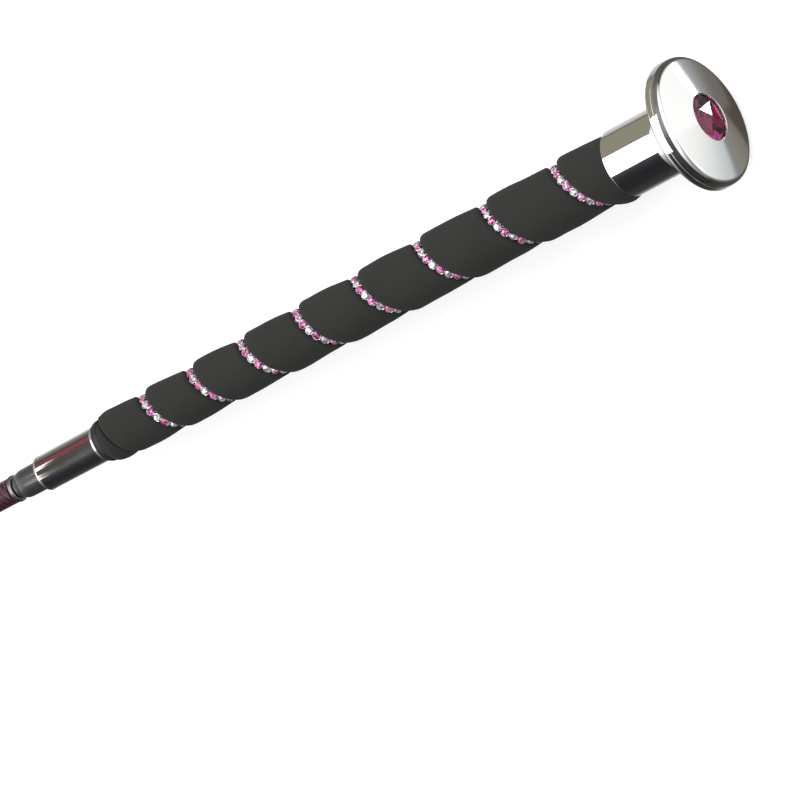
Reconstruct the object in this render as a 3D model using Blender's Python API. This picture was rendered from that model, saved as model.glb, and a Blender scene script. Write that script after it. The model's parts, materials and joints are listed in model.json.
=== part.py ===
"""A dressage whip, the long thin kind of riding crop: a chrome mushroom cap with a fuchsia stone, a tapering
foam-strip grip with a crystal band between its turns, a chrome ferrule, a braided fibreglass shaft and a
whipped-on lash.

The whip is modelled along its own axis, as x from the cap's face plane (x = 0) towards the cap's front (+X),
so everything behind the face has a negative x. It then lies on the floor, on the cap's rim and the whipping.
The shaft is cut into short bodies at the flex joints, because the real shaft bends and these bodies don't.
Metres, +Z up.
"""

import math

import bmesh
import bpy
from mathutils import Matrix, Vector

MM = 0.001
GAP = 0.3 * MM  # clearance that touching pieces keep

# Cap: a mushroom of one casting, its disc, long fillet and neck
CAP_SIDES = 32
RIM_RADIUS = 18.05 * MM
EDGE_RADIUS = 1.65 * MM  # the rounding between the face and the rim
EDGE_X, EDGE_R = -0.45 * MM, 16.23 * MM  # the centre of that rounding
EDGE_FROM, EDGE_TO = 9.7, 76.0  # where the rounding's surface faces, in degrees from the axis
FACE_FLATTEST = 0.094  # the near-conical face's slope at the axis
FACE_BEND = 0.0045 / MM  # how fast that slope grows outwards
RIM_LINE_X = -1.95 * MM  # where the rim's front band meets its back band
RIM_FRONT_DROP, RIM_BACK_DROP = 0.008 * MM, 0.03 * MM  # how much lower than its crown the rim's ends are
DISC_BACK_X = -3.95 * MM
BACK_EDGE_RADIUS = 0.7 * MM
FILLET_LENGTH, FILLET_HEIGHT = 7.0 * MM, 5.0 * MM
NECK_RADIUS = 9.3 * MM
NECK_BORE = 8.1 * MM
NECK_BORE_END = -6.0 * MM
NECK_LIP_X = -26.5 * MM
NECK_LIP_ROUND = 0.3 * MM
RECESS_RADIUS = 6.7 * MM
RECESS_FLOOR = -0.95 * MM

# Stone in the cap: a low point, a crown, a thin girdle and a pointed back that sits in a foil cup
STONE_RADIUS = 6.4 * MM
STONE_SIDES = 16
STONE_APEX_X = 3.4 * MM
STONE_TABLE_X, STONE_TABLE_RADIUS = 2.86 * MM, 4.9 * MM
STONE_GIRDLE_X = 2.20 * MM
STONE_GIRDLE = 0.18 * MM
FOIL_RADIUS = 6.2 * MM

# Grip: a foam strip wound on a tapering underlay, with a crystal band in its seam
GRIP_FRONT_X = -26.8 * MM
GRIP_BACK_X = -203.9 * MM
GRIP_GAUGE_X, GRIP_GAUGE_RADIUS = -28.2 * MM, 8.9 * MM
GRIP_TAPER = 0.0134  # loss of radius for each unit of length
STRIP_THICKNESS = 2.3 * MM
SHOULDER = 1.2 * MM  # the soft rounding of the strip's edges
CHANNEL_HALF = 1.45 * MM  # half the seam where the crystals run
SEAM_HALF = 0.22 * MM  # half the seam where the turns close up
STEPS_PER_TURN = 28

# Seam: the turn counter is 0 where the first band crosses the side that FIRST_BAND_ANGLE names
FIRST_BAND_X = -189.0 * MM
FIRST_BAND_ANGLE = math.radians(20)
FIRST_PITCH = 16.05 * MM
PITCH_GROWTH = 1.26 * MM  # each turn is this much longer than the one before, as the grip gets thicker
CRYSTALS_FROM, CRYSTALS_TO = -0.40, 7.60
STRIP_FROM, STRIP_TO = -1.94, 7.62
STONES_HALF, STONES_TOP_HALF = 1.15 * MM, 0.85 * MM  # half the crystal row's width, at its base and its top
STONES_DEPTH, STONES_TOP_DEPTH = 1.5 * MM, 0.3 * MM
TAPE_DEPTH = 1.8 * MM

# Metalwork below the grip
END_RING_RADIUS = 5.75 * MM
END_RING_BACK_X = -206.1 * MM
FERRULE_FRONT_X, FERRULE_BACK_X = -204.2 * MM, -227.0 * MM
FERRULE_RADIUS = 4.95 * MM
FERRULE_BORE = 4.25 * MM
FERRULE_BEAD_X, FERRULE_BEAD = -206.75 * MM, 0.15 * MM
FERRULE_DRAFT = 0.15 * MM
COLLAR_BACK_X = -235.0 * MM
COLLAR_RADIUS = 3.95 * MM
COLLAR_SHOULDER = 1.6 * MM
RING_FRONT_X, RING_BACK_X = -236.2 * MM, -237.5 * MM
RING_RADIUS = 3.72 * MM
ACCENT_BACK_X = -264.0 * MM

# Shaft: a fibreglass core in a braided cover, both tapering
SHAFT_FRONT_X, SHAFT_FRONT_RADIUS = -237.8 * MM, 3.52 * MM
SHAFT_BACK_X, SHAFT_BACK_RADIUS = -884.0 * MM, 1.62 * MM
COVER_WALL = 0.6 * MM
CORE_HANDLE_RADIUS = 2.7 * MM
CORE_BORE = CORE_HANDLE_RADIUS + GAP
CORE_FRONT_X = -8.0 * MM
FLEX_COUNT = 6
FIRST_FLEX_X = -300.0 * MM
FLEX_SPACING = 100.0 * MM
FLEX_CONE = math.tan(math.radians(7))  # the ends at a joint are shallow cones, which clear each other

# Tip: the whipping that binds on the lash
WHIPPING_FRONT_X, WHIPPING_FULL_X, WHIPPING_BACK_X = -869.0 * MM, -884.0 * MM, -916.5 * MM
WHIPPING_RADIUS = 2.8 * MM
WHIPPING_BORE = 1.95 * MM
WHIPPING_SIDES = 24
WHIPPING_ROUND = 2.4 * MM
COVER_END_X = -886.5 * MM
CORE_END_X = -914.0 * MM
TAPER_THREAD, TAPER_LENGTH = 0.25 * MM, 7.0 * MM  # one layer of thread, and how far the first layer runs
TAIL_FRONT_X, TAIL_BACK_X = -887.5 * MM, -916.2 * MM
TAIL_INNER, TAIL_OUTER = 1.12 * MM, 1.66 * MM
TAIL_SPREAD = 55.0  # degrees to either side that the flattened tail covers

# Lash: its route lies on the floor from the whipping's end, as (out along the shaft, to the side) points
LASH_DIAMETER = 3.0 * MM
LASH_END_RADIUS = 2.1 * MM
LASH_END_LENGTH = 3.0 * MM
LASH_SIDE = -1.2 * MM  # the lash leaves the whipping a little to one side of the shaft
LASH_ROUTE_MM = [
    (0.4, 0.0),
    (3.2, 0.9),
    (6.4, 3.6),
    (10.4, 7.0),
    (15.6, 9.6),
    (21.6, 12.2),
    (27.6, 15.6),
    (33.4, 19.9),
    (38.7, 24.8),
    (43.3, 30.2),
    (47.7, 35.6),
    (52.3, 40.6),
    (56.9, 45.4),
]
LASH_POINT_SPACING = 2.6 * MM

# How the whip lies: the cap's rim and the whipping touch the floor
REST_RIM_X = -1.6 * MM
REST_TIP_X = -914.1 * MM


def grip_radius(x):
    return GRIP_GAUGE_RADIUS + GRIP_TAPER * (x - GRIP_GAUGE_X)


def shaft_radius(x):
    share = (x - SHAFT_FRONT_X) / (SHAFT_BACK_X - SHAFT_FRONT_X)
    share = max(0.0, min(1.0, share))
    return SHAFT_FRONT_RADIUS + (SHAFT_BACK_RADIUS - SHAFT_FRONT_RADIUS) * share


def core_radius(x):
    return min(CORE_HANDLE_RADIUS, shaft_radius(x) - COVER_WALL - GAP)


def seam_x(turn):
    return FIRST_BAND_X + FIRST_PITCH * turn + PITCH_GROWTH * turn * turn / 2


def clear_scene():
    for obj in list(bpy.data.objects):
        bpy.data.objects.remove(obj, do_unlink=True)


def material(name, colour, roughness, metallic=0.0, **inputs):
    made = bpy.data.materials.new(name)
    made.use_nodes = True
    shader = made.node_tree.nodes["Principled BSDF"]
    shader.inputs["Base Color"].default_value = (*colour, 1.0)
    shader.inputs["Roughness"].default_value = roughness
    shader.inputs["Metallic"].default_value = metallic
    for socket, value in inputs.items():
        shader.inputs[socket.replace("_", " ")].default_value = value
    made.diffuse_color = (*colour, 1.0)
    return made


def finish_object(name, bm, look, axis):
    """Makes the object of a bmesh: closed, facing out, shaded smooth with its real edges sharp."""
    bmesh.ops.remove_doubles(bm, verts=bm.verts, dist=0.001 * MM)
    bmesh.ops.recalc_face_normals(bm, faces=bm.faces)
    mesh = bpy.data.meshes.new(name)
    bm.to_mesh(mesh)
    bm.free()
    mesh.shade_smooth()
    mesh.set_sharp_from_angle(angle=math.radians(35))
    mesh.materials.append(look)
    obj = bpy.data.objects.new(name, mesh)
    bpy.context.scene.collection.objects.link(obj)
    obj.parent = axis
    return obj


def turned(name, profile, look, axis, sides=20):
    """A profile of (x, radius) points spun round the whip's axis, closed up if it starts off the axis."""
    bm = bmesh.new()
    start = Matrix.Rotation(math.pi / sides, 3, "X")
    verts = [bm.verts.new(start @ Vector((x, radius, 0.0))) for x, radius in profile]
    edges = [bm.edges.new(pair) for pair in zip(verts, verts[1:])]
    if profile[0][1] > 0:
        edges.append(bm.edges.new((verts[-1], verts[0])))
    bmesh.ops.spin(
        bm,
        geom=verts + edges,
        cent=(0, 0, 0),
        axis=(1, 0, 0),
        dvec=(0, 0, 0),
        angle=2 * math.pi,
        steps=sides,
        use_merge=True,
    )
    return finish_object(name, bm, look, axis)


def sleeve(name, front, back, outer, bore, look, axis, sides=20):
    """A plain tube between two stations, with outer(x) and bore(x) as its radii."""
    profile = [(front, bore(front)), (front, outer(front)), (back, outer(back)), (back, bore(back))]
    return turned(name, profile, look, axis, sides)


def arc(centre_x, centre_r, radius_x, radius_r, start, end, count):
    """Points of an ellipse's arc in the (x, radius) plane, with angles in degrees from +x."""
    angles = [math.radians(start + (end - start) * i / count) for i in range(count + 1)]
    return [(centre_x + radius_x * math.cos(a), centre_r + radius_r * math.sin(a)) for a in angles]


def face_points(inner, count):
    """The near-conical face, from the recess's edge out to where the rounded edge begins."""
    edge = math.radians(EDGE_FROM)
    end_x, end_r = EDGE_X + EDGE_RADIUS * math.cos(edge), EDGE_R + EDGE_RADIUS * math.sin(edge)
    radii = [inner + (end_r - inner) * i / count for i in range(count)]
    return [
        (end_x + FACE_FLATTEST * (end_r - r) + FACE_BEND / 2 * (end_r**2 - r**2), r) for r in radii
    ]


def end_cap(look, axis):
    recess = [(RECESS_FLOOR, 0.0), (RECESS_FLOOR, RECESS_RADIUS)]
    edge = arc(EDGE_X, EDGE_R, EDGE_RADIUS, EDGE_RADIUS, EDGE_FROM, EDGE_TO, 4)
    back_edge_x, back_edge_r = DISC_BACK_X + BACK_EDGE_RADIUS, RIM_RADIUS - RIM_BACK_DROP - BACK_EDGE_RADIUS
    rim = [(RIM_LINE_X, RIM_RADIUS - RIM_FRONT_DROP)]
    rim += arc(back_edge_x, back_edge_r, BACK_EDGE_RADIUS, BACK_EDGE_RADIUS, 90, 180, 3)
    fillet_x, fillet_r = DISC_BACK_X - FILLET_LENGTH, NECK_RADIUS + FILLET_HEIGHT
    fillet = arc(fillet_x, fillet_r, FILLET_LENGTH, FILLET_HEIGHT, 0, -90, 6)
    lip = [
        (NECK_LIP_X + NECK_LIP_ROUND, NECK_RADIUS),
        (NECK_LIP_X, NECK_RADIUS - NECK_LIP_ROUND),
        (NECK_LIP_X, NECK_BORE),
    ]
    bore = [(NECK_BORE_END, NECK_BORE), (NECK_BORE_END, 0.0)]
    profile = recess + face_points(RECESS_RADIUS, 4) + edge + rim + fillet + lip + bore
    return turned("end_cap", profile, look, axis, CAP_SIDES)


def cap_crystal(look, axis):
    """The round stone: a low pointed front, a sloping crown, a thin girdle and a pointed back."""
    profile = [
        (STONE_APEX_X, 0.0),
        (STONE_TABLE_X, STONE_TABLE_RADIUS),
        (STONE_GIRDLE_X, STONE_RADIUS),
        (STONE_GIRDLE_X - STONE_GIRDLE, STONE_RADIUS),
        (0.0, 0.0),
    ]
    return turned("cap_crystal", profile, look, axis, STONE_SIDES)


def crystal_foil(look, axis):
    """A cup of foil that follows the stone's pointed back, one gap behind it."""
    slope = (STONE_GIRDLE_X - STONE_GIRDLE) / STONE_RADIUS
    drop = GAP * math.hypot(1.0, slope)
    rise = slope * FOIL_RADIUS
    profile = [(-drop, 0.0), (rise - drop, FOIL_RADIUS), (rise - 2 * drop, FOIL_RADIUS), (-2 * drop, 0.0)]
    return turned("crystal_foil", profile, look, axis, STONE_SIDES)


def grip_underlay(look, axis):
    def outer(x):
        return grip_radius(x) - STRIP_THICKNESS - GAP

    front, back = NECK_LIP_X - GAP, GRIP_BACK_X + 0.4 * MM
    return sleeve("grip_underlay", front, back, outer, lambda x: CORE_BORE, look, axis, 28)


def sweep_on_helix(name, section, turns, look, axis):
    """Joins the closed cross-sections section(turn), lists of (x, radius), along the winding's angle."""
    bm = bmesh.new()
    count = round((turns[1] - turns[0]) * STEPS_PER_TURN)
    rings = []
    for i in range(count + 1):
        turn = turns[0] + (turns[1] - turns[0]) * i / count
        angle = FIRST_BAND_ANGLE + 2 * math.pi * turn
        across, up = math.cos(angle), math.sin(angle)
        rings.append([bm.verts.new((x, r * across, r * up)) for x, r in section(turn)])
    for here, ahead in zip(rings, rings[1:]):
        for k in range(len(here)):
            after = (k + 1) % len(here)
            bm.faces.new((here[k], here[after], ahead[after], ahead[k]))
    bm.faces.new(rings[0])
    bm.faces.new(rings[-1])
    return finish_object(name, bm, look, axis)


def seam_half(turn):
    """Half the seam's width: wide over the crystals, and closing up within a few degrees past their ends."""
    inside = min(turn - CRYSTALS_FROM, CRYSTALS_TO - turn)
    share = max(0.0, min(1.0, 1.0 + inside / 0.1))
    return SEAM_HALF + (CHANNEL_HALF - SEAM_HALF) * share


def strip_section(turn):
    """The foam strip between this turn's seam and the next, cut off square at the grip's two ends."""
    back = max(seam_x(turn) + seam_half(turn), GRIP_BACK_X)
    front = min(seam_x(turn + 1) - seam_half(turn + 1), GRIP_FRONT_X)
    soft = min(SHOULDER, (front - back) / 3)
    edge = soft / 3
    under = STRIP_THICKNESS
    return [
        (back, grip_radius(back) - under),
        (back, grip_radius(back) - 0.6 * soft),
        (back + edge, grip_radius(back) - 0.15 * soft),
        (back + soft, grip_radius(back + soft)),
        (front - soft, grip_radius(front - soft)),
        (front - edge, grip_radius(front) - 0.15 * soft),
        (front, grip_radius(front) - 0.6 * soft),
        (front, grip_radius(front) - under),
    ]


def band_section(low, high, half_base, half_top):
    """A cross-section that stays in the middle of the seam, between two depths below the grip's surface."""

    def section(turn):
        x = seam_x(turn)
        surface = grip_radius(x)
        return [
            (x - half_base, surface - low),
            (x - half_top, surface - high),
            (x + half_top, surface - high),
            (x + half_base, surface - low),
        ]

    return section


def grip_parts(looks, axis):
    grip_underlay(looks["underlay"], axis)
    sweep_on_helix("grip_wrap", strip_section, (STRIP_FROM, STRIP_TO), looks["foam"], axis)
    crystals = (CRYSTALS_FROM, CRYSTALS_TO)
    tape = band_section(STRIP_THICKNESS, TAPE_DEPTH, STONES_HALF, STONES_HALF)
    sweep_on_helix("crystal_tape", tape, crystals, looks["silver"], axis)
    row = band_section(STONES_DEPTH, STONES_TOP_DEPTH, STONES_HALF, STONES_TOP_HALF)
    sweep_on_helix("crystal_row", row, crystals, looks["crystal"], axis)


def end_ring(look, axis):
    front, back, bore = GRIP_BACK_X - GAP, END_RING_BACK_X, FERRULE_RADIUS + GAP
    rounding, drop = 0.7 * MM, 0.25 * MM
    profile = [
        (front, bore),
        (front, END_RING_RADIUS),
        (back + rounding, END_RING_RADIUS - 0.2 * drop),
        (back, END_RING_RADIUS - drop),
        (back, bore),
    ]
    return turned("grip_end_ring", profile, look, axis, 28)


def ferrule(look, axis):
    """The tube, with a low bead beside the end ring and its back edge rounded in."""
    front, back, edge = FERRULE_FRONT_X, FERRULE_BACK_X, 0.4 * MM
    bead_half = FERRULE_BEAD * 2
    profile = [
        (front, FERRULE_BORE),
        (front, FERRULE_RADIUS),
        (FERRULE_BEAD_X + bead_half, FERRULE_RADIUS),
        (FERRULE_BEAD_X, FERRULE_RADIUS + FERRULE_BEAD),
        (FERRULE_BEAD_X - bead_half, FERRULE_RADIUS),
        (back + edge, FERRULE_RADIUS - FERRULE_DRAFT),
        (back, FERRULE_RADIUS - FERRULE_DRAFT - 0.75 * edge),
        (back, FERRULE_BORE),
    ]
    return turned("ferrule", profile, look, axis, 28)


def collar(look, axis):
    front, back, drop = FERRULE_BACK_X - GAP, COLLAR_BACK_X, 0.75 * MM
    shoulder_r = COLLAR_RADIUS - drop
    shoulder = arc(back + COLLAR_SHOULDER, shoulder_r, COLLAR_SHOULDER, drop, 90, 160, 3)
    end = [(back, CORE_BORE + drop / 5), (back, CORE_BORE)]
    profile = [(front, CORE_BORE), (front, COLLAR_RADIUS), *shoulder, *end]
    return turned("collar", profile, look, axis, 24)


def shaft_ring(look, axis):
    middle, round_off = (RING_FRONT_X + RING_BACK_X) / 2, 0.2 * MM
    profile = [
        (RING_FRONT_X, CORE_BORE),
        (RING_FRONT_X, RING_RADIUS - round_off),
        (middle, RING_RADIUS),
        (RING_BACK_X, RING_RADIUS - round_off),
        (RING_BACK_X, CORE_BORE),
    ]
    return turned("shaft_ring", profile, look, axis, 24)


def metalwork(looks, axis):
    """What sits between the grip and the braided shaft, from the end ring to the accent thread."""
    end_ring(looks["rubber"], axis)
    ferrule(looks["chrome"], axis)
    bush_back = FERRULE_BACK_X + GAP
    bush_radius = FERRULE_BORE - GAP
    bush_ends = (FERRULE_FRONT_X, bush_back)
    sleeve("ferrule_bush", *bush_ends, lambda x: bush_radius, lambda x: CORE_BORE, looks["underlay"], axis)
    collar(looks["lacquer"], axis)
    shaft_ring(looks["silver"], axis)
    accent = (SHAFT_FRONT_X, ACCENT_BACK_X)
    sleeve("accent_sleeve", *accent, shaft_radius, lambda x: CORE_BORE, looks["accent"], axis, 24)


def flex_station(number):
    return FIRST_FLEX_X - (number - 1) * FLEX_SPACING


def core_piece(number, front, back, at_joint, look, axis):
    """A length of the core. Its ends are shallow cones where at_joint (front, back) says that a joint is."""
    dip_front, dip_back = (FLEX_CONE if joint else 0.0 for joint in at_joint)
    profile = [
        (front, 0.0),
        (front - core_radius(front) * dip_front, core_radius(front)),
        (back + core_radius(back) * dip_back, core_radius(back)),
        (back, 0.0),
    ]
    turned(f"shaft_core_{number}", profile, look, axis, 16)


def cover_piece(number, front, back, at_joint, look, axis):
    """A length of the braided cover, a tube round the core with the same coned ends."""
    dips = [FLEX_CONE if joint else 0.0 for joint in at_joint]
    profile = []
    for end, dip, sign in ((front, dips[0], -1), (back, dips[1], 1)):
        outer = shaft_radius(end)
        bore = outer - COVER_WALL
        radii = (bore, outer) if sign < 0 else (outer, bore)
        profile += [(end + sign * radius * dip, radius) for radius in radii]
    turned(f"shaft_cover_{number}", profile, look, axis, 20)


def shaft_pieces(looks, axis):
    """The core and the cover, cut at each flex joint, with the joint's plane in the middle of the gap."""
    stations = [flex_station(i + 1) for i in range(FLEX_COUNT)]
    fronts = [CORE_FRONT_X] + [x - GAP / 2 for x in stations]
    backs = [x + GAP / 2 for x in stations] + [CORE_END_X]
    for number, (front, back) in enumerate(zip(fronts, backs)):
        first, last = number == 0, number == FLEX_COUNT
        ends = (not first, not last)
        core_piece(number, front, back, ends, looks["fibreglass"], axis)
        cover_front = ACCENT_BACK_X - GAP if first else front
        cover_back = COVER_END_X if last else back
        cover_piece(number, cover_front, cover_back, ends, looks["braid"], axis)


def tip_pieces(looks, axis):
    """The whipping swells from a thin taper over the braid to its full width, and is rounded at its back."""
    bore = SHAFT_BACK_RADIUS + GAP + 0.12 * MM  # the shaft is that much thicker at the whipping's front
    round_off = arc(
        WHIPPING_BACK_X + WHIPPING_ROUND,
        WHIPPING_BORE,
        WHIPPING_ROUND,
        WHIPPING_RADIUS - WHIPPING_BORE,
        90,
        172,
        4,
    )
    profile = [
        (WHIPPING_FRONT_X, bore),
        (WHIPPING_FRONT_X, bore + TAPER_THREAD),
        (WHIPPING_FRONT_X - TAPER_LENGTH, bore + 2 * TAPER_THREAD),
        (WHIPPING_FULL_X, WHIPPING_RADIUS),
        *round_off,
        (WHIPPING_BACK_X, WHIPPING_BORE),
        (WHIPPING_FULL_X, WHIPPING_BORE),
    ]
    turned("tip_whipping", profile, looks["thread"], axis, WHIPPING_SIDES)
    lash_tail(looks["braid"], axis)


def lash_tail(look, axis):
    """The flat end of the lash, bound against one side of the core inside the whipping."""
    spread, steps = math.radians(TAIL_SPREAD), 4
    bm = bmesh.new()
    rings = []
    for x in (TAIL_FRONT_X, TAIL_BACK_X):
        angles = [math.pi - spread + 2 * spread * i / steps for i in range(steps + 1)]
        points = [(TAIL_OUTER, a) for a in angles] + [(TAIL_INNER, a) for a in reversed(angles)]
        rings.append([bm.verts.new((x, r * math.cos(a), r * math.sin(a))) for r, a in points])
    for k in range(len(rings[0])):
        after = (k + 1) % len(rings[0])
        bm.faces.new((rings[0][k], rings[0][after], rings[1][after], rings[1][k]))
    bm.faces.new(rings[0])
    bm.faces.new(rings[1])
    return finish_object("lash_tail", bm, look, axis)


def smooth_line(points, spacing):
    """Points about spacing apart on a Catmull-Rom curve through the route's points."""
    ends = [2 * points[0] - points[1], *points, 2 * points[-1] - points[-2]]
    fine = [points[0]]
    for a, b, c, d in zip(ends, ends[1:], ends[2:], ends[3:]):
        bend, twist = 2 * a - 5 * b + 4 * c - d, 3 * b - a - 3 * c + d
        for i in range(1, 13):
            t = i / 12
            fine.append(0.5 * (2 * b + (c - a) * t + bend * t**2 + twist * t**3))
    lengths = [0.0]
    for here, ahead in zip(fine, fine[1:]):
        lengths.append(lengths[-1] + (ahead - here).length)
    count = round(lengths[-1] / spacing)
    line, k = [], 0
    for i in range(count + 1):
        along = lengths[-1] * i / count
        while k < len(fine) - 2 and lengths[k + 1] < along:
            k += 1
        share = (along - lengths[k]) / (lengths[k + 1] - lengths[k])
        line.append(fine[k].lerp(fine[k + 1], share))
    return line


def lash_route(axis):
    """The lash's centreline: out of the whipping, down to the floor and along it in a loose curve."""
    exit_point = axis.matrix_world @ Vector((WHIPPING_BACK_X, LASH_SIDE, 0.0))
    radius = LASH_DIAMETER / 2
    route = []
    for out, side in LASH_ROUTE_MM:
        fall = min(1.0, out / 9.0)
        lift = max(0.0, (out - 44.0) / 12.9)
        height = exit_point.z + (radius - exit_point.z) * fall * fall * (3 - 2 * fall)
        height += (LASH_END_RADIUS - radius + 0.05 * MM) * lift
        route.append(Vector((exit_point.x - out * MM, exit_point.y - side * MM, height)))
    return route


def lash(look, axis):
    line = smooth_line(lash_route(axis), LASH_POINT_SPACING)
    curve = bpy.data.curves.new("lash", "CURVE")
    curve.dimensions = "3D"
    curve.bevel_depth = LASH_DIAMETER / 2
    curve.bevel_resolution = 2
    curve.use_fill_caps = True
    spline = curve.splines.new("POLY")
    spline.points.add(len(line) - 1)
    for point, place in zip(spline.points, line):
        point.co = (*place, 1.0)
    curve.materials.append(look)
    obj = bpy.data.objects.new("lash", curve)
    bpy.context.scene.collection.objects.link(obj)
    return line


def lash_end(line, look):
    """The flared end of the lash, a small turned knob in line with its last stretch."""
    direction = (line[-1] - line[-2]).normalized()
    radius = LASH_DIAMETER / 2
    profile = [
        (0.0, 0.0),
        (0.0, radius),
        (0.45 * LASH_END_LENGTH, 1.15 * radius),
        (0.85 * LASH_END_LENGTH, LASH_END_RADIUS),
        (LASH_END_LENGTH, 0.9 * LASH_END_RADIUS),
        (LASH_END_LENGTH, 0.0),
    ]
    knob = turned("lash_end", profile, look, None, 12)
    turn = Vector((1, 0, 0)).rotation_difference(direction)
    knob.matrix_world = Matrix.Translation(line[-1] + direction * GAP) @ turn.to_matrix().to_4x4()
    return knob


def make_looks():
    return {
        "chrome": material("chrome", (0.86, 0.86, 0.85), 0.06, 1.0),
        "silver": material("silver", (0.80, 0.79, 0.80), 0.18, 1.0),
        "stone": material("fuchsia_stone", (0.36, 0.01, 0.11), 0.04, 0.0, Coat_Weight=1.0),
        "crystal": material("crystal_row", (0.72, 0.30, 0.52), 0.08, 0.3),
        "foil": material("foil", (0.55, 0.10, 0.30), 0.25, 0.9),
        "foam": material("foam", (0.025, 0.027, 0.028), 0.9),
        "underlay": material("underlay", (0.05, 0.05, 0.05), 0.8),
        "rubber": material("rubber", (0.012, 0.012, 0.013), 0.6),
        "lacquer": material("black_lacquer", (0.02, 0.02, 0.022), 0.12),
        "accent": material("accent_thread", (0.12, 0.008, 0.04), 0.15, 0.2),
        "braid": material("braid", (0.022, 0.022, 0.024), 0.6),
        "thread": material("thread", (0.018, 0.018, 0.020), 0.5),
        "fibreglass": material("fibreglass", (0.02, 0.02, 0.02), 0.35),
    }


def whip_axis():
    """The empty that carries the whip, tilted so that the rim and the whipping touch the floor together."""
    axis = bpy.data.objects.new("whip_axis", None)
    bpy.context.scene.collection.objects.link(axis)
    rim = RIM_RADIUS * math.cos(math.pi / CAP_SIDES)
    tip = WHIPPING_RADIUS * math.cos(math.pi / WHIPPING_SIDES)
    axis.rotation_euler = (0.0, -math.atan2(rim - tip, REST_RIM_X - REST_TIP_X), 0.0)
    return axis


def lay_on_floor(axis):
    """Moves the whip so that its box stands on the floor, centred on the origin."""
    bpy.context.view_layer.update()
    corners = [
        piece.matrix_world @ vertex.co for piece in axis.children for vertex in piece.data.vertices
    ]
    low, high = (Vector([pick(c[k] for c in corners) for k in range(3)]) for pick in (min, max))
    axis.location = (-(low.x + high.x) / 2, -(low.y + high.y) / 2, -low.z)
    bpy.context.view_layer.update()


def main():
    clear_scene()
    looks = make_looks()
    axis = whip_axis()
    end_cap(looks["chrome"], axis)
    cap_crystal(looks["stone"], axis)
    crystal_foil(looks["foil"], axis)
    sleeve(
        "neck_plug",
        NECK_BORE_END - GAP,
        NECK_LIP_X + GAP,
        lambda x: NECK_BORE - GAP,
        lambda x: CORE_BORE,
        looks["underlay"],
        axis,
    )
    grip_parts(looks, axis)
    metalwork(looks, axis)
    shaft_pieces(looks, axis)
    tip_pieces(looks, axis)
    lay_on_floor(axis)
    line = lash(looks["braid"], axis)
    lash_end(line, looks["braid"])


main()
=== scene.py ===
"""Looks of the dressage whip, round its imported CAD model: polished cap with a faceted stone, foam grip with a
chain of set crystals in its seam, lacquered and braided shaft, thread whipping and a plaited lash.

Pieces are modelled along the whip's own axis in millimetres. x is 0 at the cap's face and falls towards the
tip. WHIP, worked out from the flex joints, carries them into the frame of the CAD model.
"""

import json
import math

import bmesh
import bpy
import numpy as np
from mathutils import Matrix, Vector


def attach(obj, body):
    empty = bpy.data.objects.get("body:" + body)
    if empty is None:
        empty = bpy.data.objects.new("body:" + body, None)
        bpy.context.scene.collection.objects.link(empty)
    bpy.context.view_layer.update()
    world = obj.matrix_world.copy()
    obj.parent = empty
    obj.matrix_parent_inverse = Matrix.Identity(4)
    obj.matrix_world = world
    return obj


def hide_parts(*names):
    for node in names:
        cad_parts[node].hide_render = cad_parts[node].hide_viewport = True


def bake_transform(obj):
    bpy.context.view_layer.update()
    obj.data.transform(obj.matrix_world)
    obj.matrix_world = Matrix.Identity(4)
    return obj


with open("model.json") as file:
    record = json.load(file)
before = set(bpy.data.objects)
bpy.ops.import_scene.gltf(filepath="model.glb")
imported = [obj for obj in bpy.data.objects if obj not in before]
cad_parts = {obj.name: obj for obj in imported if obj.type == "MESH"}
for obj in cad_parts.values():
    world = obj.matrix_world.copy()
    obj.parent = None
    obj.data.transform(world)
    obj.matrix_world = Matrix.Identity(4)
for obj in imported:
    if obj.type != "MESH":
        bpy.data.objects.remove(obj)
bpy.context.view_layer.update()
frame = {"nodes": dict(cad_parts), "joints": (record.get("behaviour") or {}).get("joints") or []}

MM = 0.001
TAU = 2 * math.pi

# ---------------- the whip's sizes, in millimetres

FLEX_X = [-300.0, -400.0, -500.0, -600.0, -700.0, -800.0]  # where the flex joints stand on the axis

RIM_RADIUS, RIM_CROWN = 18.05, 0.03  # the rim, and how far its back band bulges
EDGE_RADIUS, EDGE_X, EDGE_R = 1.65, -0.45, 16.23  # the rounding between face and rim, and its centre
EDGE_FROM, EDGE_TO = 9.7, 76.0  # where its surface faces, in degrees from the whip's axis
FACE_FLATTEST, FACE_BEND = 0.094, 0.0045  # the near-conical face's slope at the axis, and its growth outwards
RIM_LINE_X = -1.8  # the fine turned line between the rim's two bands
DISC_BACK_X = -3.95
BACK_EDGE_RADIUS = 0.7
FILLET_LENGTH, FILLET_HEIGHT = 7.0, 5.0
NECK_RADIUS = 9.3
NECK_LIP_X = -26.5
NECK_BORE, NECK_FLOOR_X = 8.1, -6.0  # the hollow of the neck, and where it ends inside the disc
LIP_ROUNDING = 0.1
SETTING_RADIUS, RECESS_X = 6.5, -0.95  # the hole that holds the stone
BEZEL_WIDTH = 0.26

GRIP_FRONT_X, GRIP_BACK_X = -26.8, -203.9
GRIP_GAUGE_X, GRIP_GAUGE_RADIUS = -28.2, 8.9
GRIP_TAPER = 0.0134
STRIP_THICKNESS = 2.3
STRIP_TURNS = -1.945, 7.62  # where the strip's two ends are, in turns from the first band's place
FIRST_BAND_X, FIRST_BAND_ANGLE = -189.0, math.radians(20)
FIRST_PITCH, PITCH_GROWTH = 16.05, 1.26
CRYSTALS_FROM, CRYSTALS_TO = -0.40, 7.60  # where the row's two ends are, in the same turns
CHANNEL_HALF, SEAM_HALF = 1.45, 0.12  # half the seam's width over the crystals, and past them

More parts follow.
